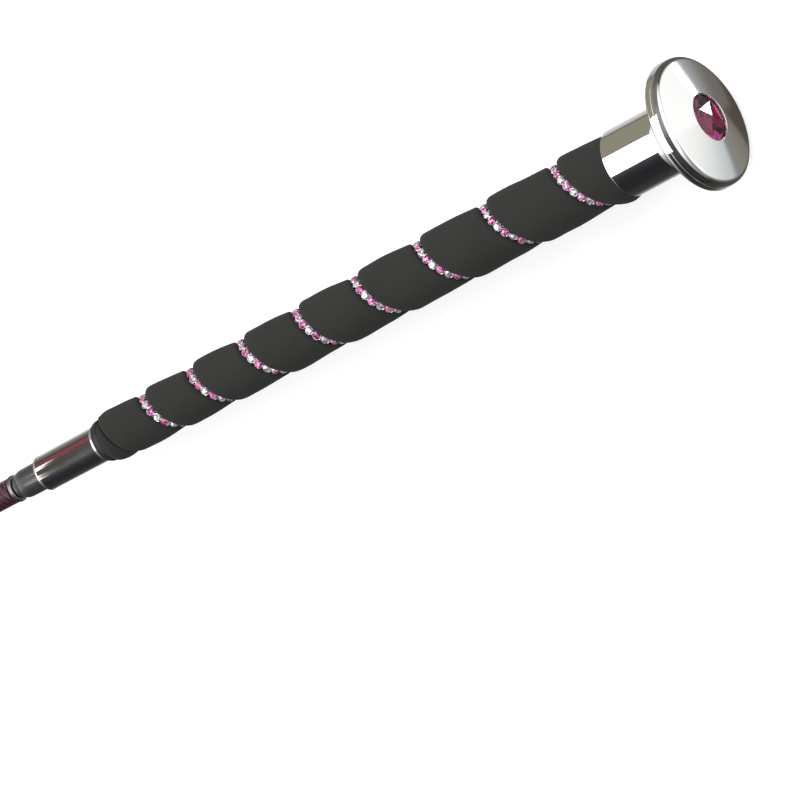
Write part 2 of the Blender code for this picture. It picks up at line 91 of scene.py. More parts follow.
END_RING_BACK_X, FERRULE_BEAD_X = -206.1, -206.7
FERRULE_FRONT_X, FERRULE_BACK_X, FERRULE_RADIUS = -204.2, -227.0, 4.95
FERRULE_DRAFT, FERRULE_BORE = 0.15, 4.25
COLLAR_BACK_X, COLLAR_RADIUS = -235.0, 3.95
RING_FRONT_X, RING_BACK_X, RING_RADIUS = -236.2, -237.5, 3.72
ACCENT_BACK_X = -264.0
SHAFT_FRONT_X, SHAFT_FRONT_RADIUS = -237.8, 3.52
SHAFT_BACK_X, SHAFT_BACK_RADIUS = -884.0, 1.62
CARRIERS = 16  # the threads of the braided cover, half of them wound each way
BRAID_LAY = 0.42  # a crossing's length along the shaft, as a share of the shaft's radius
COVER_WALL = 0.6
CORE_FRONT_X, CORE_BACK_X, CORE_HANDLE_RADIUS, CORE_GAP = -8.0, -914.0, 2.7, 0.3
COVER_BACK_X = -886.5

WHIPPING_FRONT_X, WHIPPING_FULL_X, WHIPPING_BACK_X = -869.0, -884.0, -916.5
WHIPPING_RADIUS, WHIPPING_BORE, WHIPPING_FRONT_BORE = 2.8, 1.95, 1.76
TAIL_ANGLE = math.pi  # the lash's tail is bound in on the -Y side

LASH_LENGTH_M = 0.0737  # in metres, without its sealed end
LASH_DIAMETER = 3.0
LASH_END_LENGTH, LASH_END_RADIUS = 3.0, 2.1
LASH_SIDE = -1.2
# The lash's route, as (out along the shaft, to the side) points that the CAD model shares
LASH_ROUTE = [
    (0.4, 0.0), (3.2, 0.9), (6.4, 3.6), (10.4, 7.0), (15.6, 9.6), (21.6, 12.2), (27.6, 15.6),
    (33.4, 19.9), (38.7, 24.8), (43.3, 30.2), (47.7, 35.6), (52.3, 40.6), (56.9, 45.4),
]  # fmt: skip


def find_joint(name):
    return next(joint for joint in frame["joints"] if joint["name"] == name)


def whip_matrix():
    """From the whip's axis, in millimetres, to the frame of the CAD model."""
    first, last = (Vector(find_joint(name)["pos_m"]) for name in ("flex_1", "flex_6"))
    along = (first - last).normalized()
    side = Vector((0, 1, 0))
    up = along.cross(side).normalized()
    turn = Matrix((along, side, up)).transposed()
    origin = first - along * FLEX_X[0] * MM
    return Matrix.Translation(origin) @ turn.to_4x4() @ Matrix.Scale(MM, 4)


WHIP = whip_matrix()


def grip_radius(x):
    return GRIP_GAUGE_RADIUS + GRIP_TAPER * (x - GRIP_GAUGE_X)


def shaft_radius(x):
    share = np.clip((x - SHAFT_FRONT_X) / (SHAFT_BACK_X - SHAFT_FRONT_X), 0, 1)
    return SHAFT_FRONT_RADIUS + (SHAFT_BACK_RADIUS - SHAFT_FRONT_RADIUS) * share


def seam_x(turn):
    return FIRST_BAND_X + FIRST_PITCH * turn + PITCH_GROWTH * turn * turn / 2


def smooth_step(low, high, value):
    share = np.clip((value - low) / (high - low), 0, 1)
    return share * share * (3 - 2 * share)


def spin(count):
    """The angles of count equal steps round a circle."""
    return np.arange(count) / count * TAU


def round_axis(x, r, angle):
    """Points round the whip's axis, from their places along it, radii and angles."""
    y, z = r * np.cos(angle), r * np.sin(angle)
    return np.stack([x + 0 * y, y, z], -1)


def length_along(line):
    """How far each point of a line is along it."""
    return np.concatenate([[0], np.cumsum(np.linalg.norm(np.diff(line, axis=0), axis=1))])


# ---------------- mesh tools


def link_object(name, data):
    obj = bpy.data.objects.new(name, data)
    bpy.context.scene.collection.objects.link(obj)
    return obj


def whip_object(name, verts, faces, look, body=None, sharp=35, uvs=None, matrix=None):
    """An object of these faces, facing out and shaded smooth. uvs has a (u, v) for each corner of a face."""
    mesh = bpy.data.meshes.new(name)
    mesh.from_pydata(np.asarray(verts).reshape(-1, 3).tolist(), [], faces)
    if uvs is not None:
        layer = mesh.uv_layers.new(name="UVMap")
        layer.data.foreach_set("uv", np.asarray(uvs, np.float32).ravel())
    bm = bmesh.new()
    bm.from_mesh(mesh)
    bmesh.ops.recalc_face_normals(bm, faces=bm.faces)
    bm.to_mesh(mesh)
    bm.free()
    mesh.transform(WHIP if matrix is None else matrix)
    if sharp:
        mesh.shade_smooth()
        mesh.set_sharp_from_angle(angle=math.radians(sharp))
    mesh.materials.append(look)
    obj = link_object(name, mesh)
    if body:
        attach(obj, body)
    return obj


def ring_faces(rows, cols, wrap_rows=False):
    """Faces and corner UVs of a grid whose columns close on themselves, with its rows closed or capped."""
    index = np.arange(rows * cols).reshape(rows, cols)
    here = index if wrap_rows else index[:-1]
    ahead = np.roll(index, -1, 0) if wrap_rows else index[1:]
    quads = np.stack([here, np.roll(here, -1, 1), np.roll(ahead, -1, 1), ahead], -1)
    faces = quads.reshape(-1, 4).tolist()
    u, v = np.meshgrid(np.arange(cols) / cols, np.arange(float(len(here))))
    corners = ((0, 0), (1 / cols, 0), (1 / cols, 1), (0, 1))
    uvs = np.stack([np.stack([u + over, v + on], -1) for over, on in corners], 2).reshape(-1, 2)
    if not wrap_rows:
        faces += [index[0][::-1].tolist(), index[-1].tolist()]
        uvs = np.concatenate([uvs, np.zeros((2 * cols, 2))])
    return faces, uvs


def turned(name, profile, look, body, sides=96, sharp=35):
    """A profile of (x, radius) points spun round the axis, closed on itself unless it starts at the axis."""
    profile = np.asarray(profile, float)
    closed = profile[0, 1] > 0.3
    verts = round_axis(profile[:, :1], np.maximum(profile[:, 1:], 0.02), spin(sides))
    faces, uvs = ring_faces(len(profile), sides, wrap_rows=closed)
    return whip_object(name, verts, faces, look, body, sharp, uvs)


def arc(centre_x, centre_r, radius_x, radius_r, start, end, count):
    """Points of an ellipse's arc in the (x, radius) plane, with angles in degrees from +x."""
    angles = np.radians(np.linspace(start, end, count + 1))
    return list(zip(centre_x + radius_x * np.cos(angles), centre_r + radius_r * np.sin(angles)))


# ---------------- material tools


def rgba(colour):
    """A colour made opaque. A socket that gives a colour is left as it is."""
    return colour if isinstance(colour, bpy.types.NodeSocket) else (*colour, 1.0)


class Nodes:
    """A short way to build a node tree: each call adds a node and links or sets its inputs."""

    def __init__(self, tree):
        self.tree = tree
        tree.nodes.clear()

    def add(self, kind, inputs=None, **settings):
        node = self.tree.nodes.new(kind)
        for key, value in settings.items():
            setattr(node, key, value)
        for key, value in (inputs or {}).items():
            if isinstance(value, bpy.types.NodeSocket):
                self.tree.links.new(value, node.inputs[key])
            else:
                node.inputs[key].default_value = value
        return node

    def math(self, operation, a, b=0.0, c=0.0):
        return self.add("ShaderNodeMath", {0: a, 1: b, 2: c}, operation=operation).outputs[0]

    def times(self, a, b):
        return self.math("MULTIPLY", a, b)

    def plus(self, a, b):
        return self.math("ADD", a, b)

    def dot(self, a, b):
        return self.add("ShaderNodeVectorMath", {0: a, 1: b}, operation="DOT_PRODUCT").outputs["Value"]

    def ramp(self, value, stops):
        """A ramp through stops of (place, colour), where a colour may be one number for a grey."""
        node = self.add("ShaderNodeValToRGB", {0: value})
        elements = node.color_ramp.elements
        while len(elements) < len(stops):
            elements.new(1.0)
        for element, (place, colour) in zip(elements, stops):
            element.position = place
            element.color = rgba(colour if hasattr(colour, "__len__") else (colour, colour, colour))
        return node.outputs[0]

    def mix(self, share, a, b):
        return self.add("ShaderNodeMix", {0: share, 6: rgba(a), 7: rgba(b)}, data_type="RGBA").outputs[2]

    def mapped(self, low, high, value, to_low=0.0, to_high=1.0, kind="SMOOTHSTEP"):
        inputs = {"Value": value, "From Min": low, "From Max": high, "To Min": to_low, "To Max": to_high}
        return self.add("ShaderNodeMapRange", inputs, interpolation_type=kind).outputs[0]

    def noise(self, scale, detail, coords, roughness=0.5):
        inputs = {"Vector": coords, "Scale": scale, "Detail": detail, "Roughness": roughness}
        return self.add("ShaderNodeTexNoise", inputs).outputs["Fac"]

    def bump(self, height, strength, distance):
        inputs = {"Height": height, "Strength": strength, "Distance": distance}
        return self.add("ShaderNodeBump", inputs).outputs[0]


def new_look(name):
    """A material, its node tools, and the coordinates that stay on a piece as it moves."""
    look = bpy.data.materials.new(name)
    look.use_nodes = True
    nodes = Nodes(look.node_tree)
    coords = nodes.add("ShaderNodeTexCoord").outputs["Object"]
    return look, nodes, coords


def surface(nodes, **inputs):
    """A Principled surface with these inputs, named with underscores for spaces, linked to the output."""
    shader = nodes.add("ShaderNodeBsdfPrincipled", {k.replace("_", " "): v for k, v in inputs.items()})
    nodes.add("ShaderNodeOutputMaterial", {"Surface": shader.outputs[0]})


# ---------------- materials


def chrome_look(name, colour, roughness=0.035):
    """Polished plating, with a faint mottle of handling in its gloss and hairline polishing marks."""
    look, nodes, coords = new_look(name)
    mottle = nodes.noise(120.0, 4.0, coords)
    gloss = nodes.mapped(0.35, 0.75, mottle, roughness, roughness + 0.035, "LINEAR")
    hair = nodes.noise(9000.0, 1.0, coords)
    marks = nodes.bump(hair, 0.03, 0.00002)
    surface(nodes, Base_Color=rgba(colour), Metallic=1.0, Roughness=gloss, Normal=marks)
    return look


def foam_look():
    """Matt closed-cell foam with a fine felted skin, paler where the skin is rubbed."""
    look, nodes, coords = new_look("grip_foam")
    broad = nodes.noise(55.0, 3.0, coords)
    cells = nodes.noise(3400.0, 3.0, coords, 0.6)
    weave = nodes.noise(900.0, 2.0, coords)
    base = nodes.mix(broad, (0.0165, 0.0168, 0.0155), (0.024, 0.0244, 0.0225))
    grain = nodes.mapped(0.3, 0.8, cells, 0.0, 1.0, "LINEAR")
    base = nodes.mix(nodes.times(grain, 0.35), base, (0.042, 0.042, 0.039))
    height = nodes.plus(nodes.times(cells, 0.6), nodes.times(weave, 0.8))
    felt = nodes.bump(height, 0.35, 0.0002)
    sheen = {"Sheen_Weight": 0.05, "Sheen_Roughness": 0.5}
    surface(nodes, Base_Color=base, Roughness=0.88, Specular_IOR_Level=0.1, Normal=felt, **sheen)
    return look


def stone_look(name, colour, tint):
    """Cut glass, deeper in its body and coloured by the foil behind it."""
    look, nodes, coords = new_look(name)
    body = nodes.mix(nodes.noise(260.0, 2.0, coords), colour, tint)
    surface(nodes, Base_Color=body, Roughness=0.015, IOR=1.6, Transmission_Weight=1.0, Specular_IOR_Level=0.6)
    return look


def gem_look(name, shaded_facet_colour, bright):
    """A small foil-backed crystal: bright and half mirror-like, its colour darkened in noise patches towards a
    darker tone as painted facet shade.
    """
    look, nodes, coords = new_look(name)
    # painted shade: noise darkens patches of the facets from the bright tone towards the darker one
    facets = nodes.mix(nodes.mapped(0.4, 0.6, nodes.noise(1500.0, 1.0, coords)), shaded_facet_colour, bright)
    coat = {"Coat_Weight": 1.0, "Coat_Roughness": 0.02}
    surface(nodes, Base_Color=facets, Metallic=0.6, Roughness=0.05, Specular_IOR_Level=0.8, **coat)
    return look


def moulded_look(name, colour, roughness, grain=2500.0):
    """Moulded plastic or rubber with a fine spark-eroded grain."""
    look, nodes, coords = new_look(name)
    skin = nodes.noise(grain, 3.0, coords)
    patch = nodes.noise(90.0, 2.0, coords)
    tone = nodes.mix(patch, tuple(0.7 * c for c in colour), colour)
    gloss = nodes.mapped(0.2, 0.8, patch, roughness - 0.06, roughness + 0.06, "LINEAR")
    surface(nodes, Base_Color=tone, Roughness=gloss, Normal=nodes.bump(skin, 0.15, 0.00005))
    return look


def lacquer_look():
    """Black lacquer over turned plastic: a broad soft gloss under a clear coat."""
    look, nodes, coords = new_look("black_lacquer")
    ripple = nodes.noise(300.0, 2.0, coords)
    tone = nodes.mix(ripple, (0.020, 0.020, 0.019), (0.036, 0.036, 0.034))
    coat = {"Coat_Weight": 1.0, "Coat_Roughness": 0.08, "Normal": nodes.bump(ripple, 0.06, 0.0002)}
    surface(nodes, Base_Color=tone, Roughness=0.34, Specular_IOR_Level=0.9, **coat)
    return look


def painted_braid_shade(nodes, u, v):
    """Painted shade for the braid: how high each point stands, 0 in a gap and 1 on top. u is in turns and v in
    crossings.
    """
    around = nodes.times(u, CARRIERS * math.pi)
    along = nodes.times(v, math.pi)

    def half_wave(value):
        return nodes.math("MULTIPLY_ADD", value, 0.5, 0.5)

    right = half_wave(nodes.math("COSINE", nodes.plus(around, along)))
    left = half_wave(nodes.math("COSINE", nodes.math("SUBTRACT", around, along)))
    lift = half_wave(nodes.times(nodes.math("SINE", around), nodes.math("SINE", along)))
    lift = nodes.mapped(0.38, 0.62, lift)
    under = nodes.math("SUBTRACT", 1.0, lift)
    return nodes.math("MAXIMUM", nodes.times(right, lift), nodes.times(left, under))


def thread_look(name, dark, light, gloss, fibre=60.0, coat=0.0, fleck=None, braided=False):
    """Nylon thread, with its fibres in broken streaks of a dark and a light tone. braided paints shade into the
    gaps of the cover's braid and onto its threads' sides. fleck is the colour of the few tinsel threads, where
    there are any."""
    look, nodes, coords = new_look(name)
    uv = nodes.add("ShaderNodeUVMap", uv_map="UVMap").outputs[0]
    u, v, _ = nodes.add("ShaderNodeSeparateXYZ", {0: uv}).outputs
    fibres = nodes.noise(fibre, 3.0, uv, 0.7)
    broad = nodes.noise(35.0, 2.0, coords)
    base = nodes.mix(nodes.mapped(0.3, 0.75, fibres), dark, light)
    base = nodes.mix(nodes.times(broad, 0.35), base, dark)
    if braided:
        # painted shade: the braid's gaps and its threads' sides are darkened towards a third of the dark tone
        gap = tuple(0.3 * c for c in dark)
        base = nodes.mix(nodes.mapped(0.05, 0.6, painted_braid_shade(nodes, u, v)), gap, base)
    if fleck:
        slant = nodes.plus(nodes.times(u, 5.0), nodes.times(v, 0.9))
        stripe = nodes.math("LESS_THAN", nodes.math("FRACT", slant), 0.3)
        broken = nodes.math("GREATER_THAN", nodes.noise(16.0, 1.0, uv), 0.52)
        base = nodes.mix(nodes.times(stripe, broken), base, fleck)
    finish = {"Coat_Weight": coat, "Coat_Roughness": 0.04, "Normal": nodes.bump(fibres, 0.3, 0.00004)}
    surface(nodes, Base_Color=base, Roughness=gloss, Specular_IOR_Level=0.5, **finish)
    return look


def make_looks():
    accent = {"dark": (0.012, 0.004, 0.006), "light": (0.058, 0.007, 0.016), "fleck": (0.15, 0.05, 0.075)}
    return {
        "chrome": chrome_look("chrome", (0.93, 0.925, 0.915)),
        "ferrule": chrome_look("ferrule_chrome", (0.90, 0.885, 0.88), 0.06),
        "silver": chrome_look("bright_plating", (0.90, 0.88, 0.90), 0.14),
        "nickel": chrome_look("dull_nickel", (0.30, 0.28, 0.30), 0.3),
        "stone": stone_look("fuchsia_stone", (0.42, 0.05, 0.21), (0.56, 0.06, 0.29)),
        "foil": chrome_look("fuchsia_foil", (0.64, 0.26, 0.50), 0.06),
        "fuchsia": gem_look("fuchsia_crystal", (0.40, 0.01, 0.17), (0.92, 0.42, 0.72)),
        "clear": gem_look("clear_crystal", (0.34, 0.22, 0.32), (0.97, 0.92, 0.96)),
        "foam": foam_look(),
        "moulding": moulded_look("inner_moulding", (0.05, 0.05, 0.05), 0.7),
        "rubber": moulded_look("black_rubber", (0.016, 0.017, 0.016), 0.55),
        "lacquer": lacquer_look(),
        "accent": thread_look("accent_thread", gloss=0.32, fibre=40.0, coat=1.0, **accent),
        # this braid's colour carries painted shade in its gaps and on its threads' sides
        "braid": thread_look("braided_nylon", (0.012, 0.012, 0.012), (0.09, 0.09, 0.085), 0.42, braided=True),
        "thread": thread_look("waxed_thread", (0.012, 0.012, 0.011), (0.066, 0.066, 0.060), 0.46),
        "plait": thread_look("plaited_cord", (0.014, 0.014, 0.013), (0.105, 0.105, 0.098), 0.38),
        "fibreglass": moulded_look("black_fibreglass_rod", (0.02, 0.02, 0.02), 0.3, 600.0),
    }


# ---------------- camera, floor and light

TILT = math.radians(31.5)  # how far the cap's end leans towards the camera
ROLL = math.radians(28.2)  # the whip's slope in the picture
TURN = math.radians(20)  # how far the camera stands to the side of straight above the whip
CAP_DISTANCE = 5.4
LENS = 957.4
CAP_RIGHT, CAP_UP = 0.01421, 0.01312  # the cap's place from the middle of the picture, as tangents


def view_axes():
    """The directions u along the whip, q across it and the view, and w, the side that faces the camera."""
    turn = WHIP.to_3x3().normalized()
    along, side, up = (turn.col[k] for k in range(3))
    facing = math.cos(TURN) * up - math.sin(TURN) * side
    across = math.cos(TURN) * side + math.sin(TURN) * up
    return along, across, facing


def place_camera(along, across, facing):
    """The photographer's long lens, looking down on the cap's end of the whip."""
    back = math.sin(TILT) * along + math.cos(TILT) * facing
    in_picture = (along - math.sin(TILT) * back) / math.cos(TILT)
    right = math.cos(ROLL) * in_picture - math.sin(ROLL) * across
    up = math.sin(ROLL) * in_picture + math.cos(ROLL) * across
    to_camera = Vector((-CAP_RIGHT, -CAP_UP, 1)).normalized()
    swing = to_camera.rotation_difference(Vector((0, 0, 1))).to_matrix()
    data = bpy.data.cameras.new("camera")
    data.lens, data.sensor_width = LENS, 36.0
    data.clip_start, data.clip_end = 0.1, 100.0
    camera = link_object("camera", data)
    place = WHIP @ Vector((0, 0, 0)) + CAP_DISTANCE * back
    turn = Matrix((right, up, back)).transposed() @ swing
    camera.matrix_world = Matrix.Translation(place) @ turn.to_4x4()
    bpy.context.scene.camera = camera


def stage_sheet(name, corners, look):
    mesh = bpy.data.meshes.new(name)
    mesh.from_pydata([tuple(corner) for corner in corners], [], [(0, 1, 2, 3)])
    mesh.materials.append(look)
    obj = link_object(name, mesh)
    return obj


def make_floor():
    """A wide pale floor, lit evenly from below like a sweep on a light table."""
    look, nodes, coords = new_look("floor")
    tone = nodes.mix(nodes.noise(3.0, 2.0, coords), (0.60, 0.60, 0.60), (0.62, 0.62, 0.62))
    surface(nodes, Base_Color=tone, Roughness=0.9, Emission_Color=(1, 1, 1, 1), Emission_Strength=0.5)
    corners = [(40.0 * x, 40.0 * y, 0) for x, y in ((-1, -1), (1, -1), (1, 1), (-1, 1))]
    floor = stage_sheet("floor", corners, look)
    floor.visible_glossy = floor.visible_transmission = floor.visible_diffuse = False


def card(name, corners, colour, strength):
    """A glowing card that only reflections see."""
    look, nodes, _ = new_look(name)
    glow = nodes.add("ShaderNodeEmission", {"Color": rgba(colour), "Strength": strength})
    nodes.add("ShaderNodeOutputMaterial", {"Surface": glow.outputs[0]})
    obj = stage_sheet(name, corners, look)
    obj.visible_camera = obj.visible_diffuse = obj.visible_shadow = obj.visible_transmission = False


def make_cards(along, across, facing):
    """The softbox and the grey wall that the cap and the crystals reflect, which end before the ferrule's
    reflections reach them, and two strips for the collar. Their places are in metres from the cap."""
    cap = WHIP @ Vector((0, 0, 0))

    def place(u, q, w):
        return cap + u * along + q * across + w * facing

    def tan(degrees):
        return math.tan(math.radians(degrees))

    near, far, height = -0.19, -0.449, 0.42
    softbox_from, wall_from, wall_to = -20.5, 43, 114  # degrees round the whip
    softbox = (tan(softbox_from) * height, height), (tan(wall_from) * height, height)
    wall = (height, height / tan(wall_from)), (height, height / tan(wall_to))
    large = ("softbox_card", softbox, (1.0, 1.0, 1.0), 3.0), ("grey_card", wall, (0.275, 0.26, 0.20), 1.0)
    for name, (a, b), colour, strength in large:
        card(name, [place(near, *a), place(near, *b), place(far, *b), place(far, *a)], colour, strength)
    front, back, height = -0.2292, -0.2352, 0.1
    for name, start, end, strength in (("collar_card_1", -21, 4, 3.2), ("collar_card_2", 34, 55, 2.4)):
        corners = []
        for angle, x in ((start, front), (end, front), (end, back), (start, back)):
            run = height / math.cos(math.radians(angle))
            corners.append(place(x - run * math.tan(TILT), height * tan(angle), height))
        card(name, corners, (1.0, 0.99, 0.96), strength)


def make_world(along, across, facing):
    """The studio: even light from above, and for polished surfaces the bands of light and dark that they
    reflect, laid out by how far a direction leans along the whip (u) and by its angle round the whip."""
    world = bpy.data.worlds.new("studio")
    bpy.context.scene.world = world
    world.use_nodes = True
    nodes = Nodes(world.node_tree)
    direction = nodes.add("ShaderNodeTexCoord").outputs["Generated"]
    u, q, w = (nodes.dot(direction, tuple(axis)) for axis in (along, across, facing))
    turn = nodes.plus(nodes.math("DIVIDE", nodes.math("ARCTAN2", q, w), TAU), 0.5)

    def round_ramp(stops):
        return nodes.ramp(turn, [(degrees / 360 + 0.5, colour) for degrees, colour in stops])

    sides = round_ramp([
        (-180, 0.62), (-160, 0.5), (-144, 0.17), (-128, 0.045), (-112, 0.04), (-94, 0.025),
        (-60, (0.019, 0.018, 0.022)), (-40, (0.028, 0.027, 0.031)), (-28, 0.05), (-16, 0.09), (-2, 0.08),
        (12, (0.068, 0.056, 0.046)), (38, (0.068, 0.056, 0.046)), (50, (0.11, 0.045, 0.045)),
        (62, (0.26, 0.062, 0.082)), (76, (0.20, 0.06, 0.075)), (88, (0.06, 0.058, 0.045)), (100, 0.12),
        (112, 0.22), (122, 0.16), (130, 0.5), (150, 0.66), (180, 0.70),
    ])  # fmt: skip
    behind = round_ramp([
        (-180, 0.30), (-150, 0.10), (-110, 0.10), (-92, 0.13), (-62, 0.30), (-44, 0.62), (-26, 1.3),
        (46, 1.3), (66, 0.75), (92, 0.55), (130, 0.5), (180, 0.35),
    ])  # fmt: skip
    middle = round_ramp([
        (-180, 0.15), (-130, 0.06), (-100, 0.028), (-60, 0.032), (-40, 0.045), (-20, 0.07), (0, 0.11),
        (14, 0.26), (24, 0.31), (44, 0.31), (60, 0.18), (84, 0.18), (100, 0.11), (130, 0.09), (180, 0.15),
    ])  # fmt: skip
    above = round_ramp([
        (-180, 0.5), (-120, 0.16), (-80, 0.22), (-50, 0.5), (-30, 1.2), (70, 1.2), (90, 0.6), (110, 0.2),
        (180, 0.5),
    ])  # fmt: skip

    spread = nodes.math("MAXIMUM", nodes.math("SUBTRACT", nodes.math("ABSOLUTE", q), 0.18), 0.0)
    lean = nodes.math("SUBTRACT", u, nodes.times(spread, 0.25))
    stretch = 1.25  # spreads leans of up to 0.8 over the whole of a ramp
    lean = nodes.times(lean, stretch)

    def lean_ramp(stops):
        return nodes.ramp(lean, [(stretch * place, colour) for place, colour in stops])

    upper = lean_ramp([
        (0.20, (0.075, 0.066, 0.052)), (0.236, (0.085, 0.073, 0.058)), (0.252, (0.155, 0.145, 0.13)),
        (0.311, (0.17, 0.158, 0.148)), (0.357, (0.215, 0.205, 0.19)), (0.41, 0.30),
        (0.455, (0.36, 0.375, 0.38)), (0.474, (0.45, 0.47, 0.48)), (0.492, 0.88), (0.53, 1.0), (0.8, 1.1),
    ])  # fmt: skip
    lower = lean_ramp([
        (0.20, (0.078, 0.066, 0.05)), (0.28, (0.088, 0.075, 0.058)), (0.302, (0.195, 0.178, 0.155)),
        (0.357, (0.225, 0.213, 0.18)), (0.41, (0.245, 0.24, 0.20)), (0.47, 0.25), (0.49, (0.34, 0.35, 0.36)),
        (0.515, (0.53, 0.56, 0.58)), (0.60, (0.65, 0.69, 0.69)), (0.66, (0.78, 0.80, 0.79)), (0.74, 0.95),
        (0.8, 1.1),
    ])  # fmt: skip
    front = nodes.mix(nodes.mapped(-0.02, 0.02, q), lower, upper)
    ahead = nodes.mix(nodes.mapped(0.02, -0.12, w), above, front)
    painted, dark = middle, (0.045, 0.045, 0.045)
    bands = (-0.43, -0.48, sides), (-0.57, -0.66, behind), (-0.85, -0.90, dark), (0.11, 0.19, ahead)
    for start, full, band in bands:
        painted = nodes.mix(nodes.mapped(start, full, u), painted, band)
    lamp = nodes.math("LESS_THAN", w, 0.0)
    for start, full, value in ((0.500, 0.512, u), (0.556, 0.544, u), (0.125, 0.137, q), (0.205, 0.193, q)):
        lamp = nodes.times(lamp, nodes.mapped(start, full, value))
    painted = nodes.mix(lamp, painted, (13.0, 12.6, 12.0))
    path = nodes.add("ShaderNodeLightPath").outputs
    mirror = nodes.math("MAXIMUM", path["Is Glossy Ray"], path["Is Transmission Ray"])
    mirror = nodes.times(mirror, nodes.math("LESS_THAN", path["Diffuse Depth"], 0.5))
    height = nodes.add("ShaderNodeSeparateXYZ", {0: direction}).outputs[2]
    room = nodes.mix(nodes.mapped(-0.25, 0.25, height), (0.34, 0.34, 0.34), (1.0, 1.0, 1.0))
    glow = nodes.add("ShaderNodeBackground", {"Color": nodes.mix(mirror, room, painted), "Strength": 1.0})
    nodes.add("ShaderNodeOutputWorld", {"Surface": glow.outputs[0]})


def make_light(name, place, size, power):
    """A large softbox overhead, aimed at the middle of the handle."""
    data = bpy.data.lights.new(name, "AREA")
    data.shape, data.size, data.energy = "DISK", size, power
    light = link_object(name, data)
    light.location = place
    aim = WHIP @ Vector((-120, 0, 0)) - light.location
    light.rotation_euler = aim.to_track_quat("-Z", "Y").to_euler()
    light.visible_camera = light.visible_glossy = False


def make_studio():
    bpy.context.scene.view_settings.view_transform = "Standard"
    axes = view_axes()
    place_camera(*axes)
    make_floor()
    make_cards(*axes)
    make_world(*axes)
    make_light("key_softbox", (-0.9, 1.5, 4.6), 3.2, 150.0)
    make_light("fill_softbox", (2.2, -2.4, 4.2), 3.6, 60.0)


# ---------------- cap


def face_x(radius):
    """The face: nearly a cone, a little steeper towards its edge."""
    edge = math.radians(EDGE_FROM)
    end_x, end_r = EDGE_X + EDGE_RADIUS * math.cos(edge), EDGE_R + EDGE_RADIUS * math.sin(edge)
    return end_x + FACE_FLATTEST * (end_r - radius) + FACE_BEND / 2 * (end_r**2 - radius**2)


def end_cap(looks):
    """The polished casting: setting, face, rim in two bands, flat back, long fillet and neck."""
    bezel_edge, bezel_half = SETTING_RADIUS + BEZEL_WIDTH, 0.09
    bezel_x = face_x(bezel_edge)
    recess = [(RECESS_X, 0.0), (RECESS_X, SETTING_RADIUS), (bezel_x - 0.16, SETTING_RADIUS)]
    bezel = arc(bezel_x - 0.1, SETTING_RADIUS + bezel_half, 0.12, bezel_half, -90, 90, 12)
    face_end = EDGE_R + EDGE_RADIUS * math.sin(math.radians(EDGE_FROM))
    face = [(face_x(r), r) for r in np.linspace(bezel_edge, face_end, 40)]
    edge = arc(EDGE_X, EDGE_R, EDGE_RADIUS, EDGE_RADIUS, EDGE_FROM, EDGE_TO, 26)[1:]
    edge_x, edge_r = edge[-1]
    run = edge_x - RIM_LINE_X
    climb = math.tan(math.radians(90 - EDGE_TO)) * run
    rim_r = RIM_RADIUS - RIM_CROWN
    bend = rim_r - edge_r - climb
    band = [(edge_x - t * run, edge_r + climb * t + bend * t * t) for t in np.linspace(0, 1, 12)[1:]]
    groove = [(RIM_LINE_X - 0.07, RIM_RADIUS - 0.12), (RIM_LINE_X - 0.15, rim_r)]
    back_edge_x = DISC_BACK_X + BACK_EDGE_RADIUS
    rows = enumerate(np.linspace(RIM_LINE_X - 0.25, back_edge_x, 6))
    outer = [(x, rim_r + RIM_CROWN * math.sin(math.pi * k / 5)) for k, x in rows]
    back_edge_r = rim_r - BACK_EDGE_RADIUS
    back_edge = arc(back_edge_x, back_edge_r, BACK_EDGE_RADIUS, BACK_EDGE_RADIUS, 90, 180, 16)[1:]
    fillet_x, fillet_r = DISC_BACK_X - FILLET_LENGTH, NECK_RADIUS + FILLET_HEIGHT
    fillet = arc(fillet_x, fillet_r, FILLET_LENGTH, FILLET_HEIGHT, 0, -90, 30)
    neck = [(x, NECK_RADIUS) for x in np.linspace(fillet_x - 0.5, NECK_LIP_X + 0.5, 12)]
    lip = arc(NECK_LIP_X + LIP_ROUNDING, NECK_RADIUS - LIP_ROUNDING, LIP_ROUNDING, LIP_ROUNDING, 90, 180, 6)
    bore = [(NECK_LIP_X, NECK_BORE), (NECK_FLOOR_X, NECK_BORE), (NECK_FLOOR_X, 0.0)]
    profile = recess + bezel + face + edge + band + groove + outer + back_edge
    profile += [(DISC_BACK_X, fillet_r + 0.4)] + fillet + neck + lip + bore
    cap = turned("polished_cap", profile, looks["chrome"], "handle", 224, 24)
    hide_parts("end_cap")


def facet_solid(rings, apex, culet):
    """Triangles of a cut stone: an apex, rings of (count, radius, height, turn), and a culet."""
    verts = [(0.0, 0.0, apex)]
    starts = []
    for count, radius, height, turn in rings:
        starts.append(len(verts))
        angles = [TAU * (k + turn) / count for k in range(count)]
        verts += [(radius * math.cos(angle), radius * math.sin(angle), height) for angle in angles]
    verts.append((0.0, 0.0, culet))
    faces = [(0, starts[0] + k, starts[0] + (k + 1) % rings[0][0]) for k in range(rings[0][0])]
    for (count_a, _, _, turn_a), (count_b, _, _, turn_b), a, b in zip(rings, rings[1:], starts, starts[1:]):
        faces += bridge(count_a, turn_a, a, count_b, turn_b, b)
    last, count = starts[-1], rings[-1][0]
    faces += [(len(verts) - 1, last + (k + 1) % count, last + k) for k in range(count)]
    return np.array(verts), faces


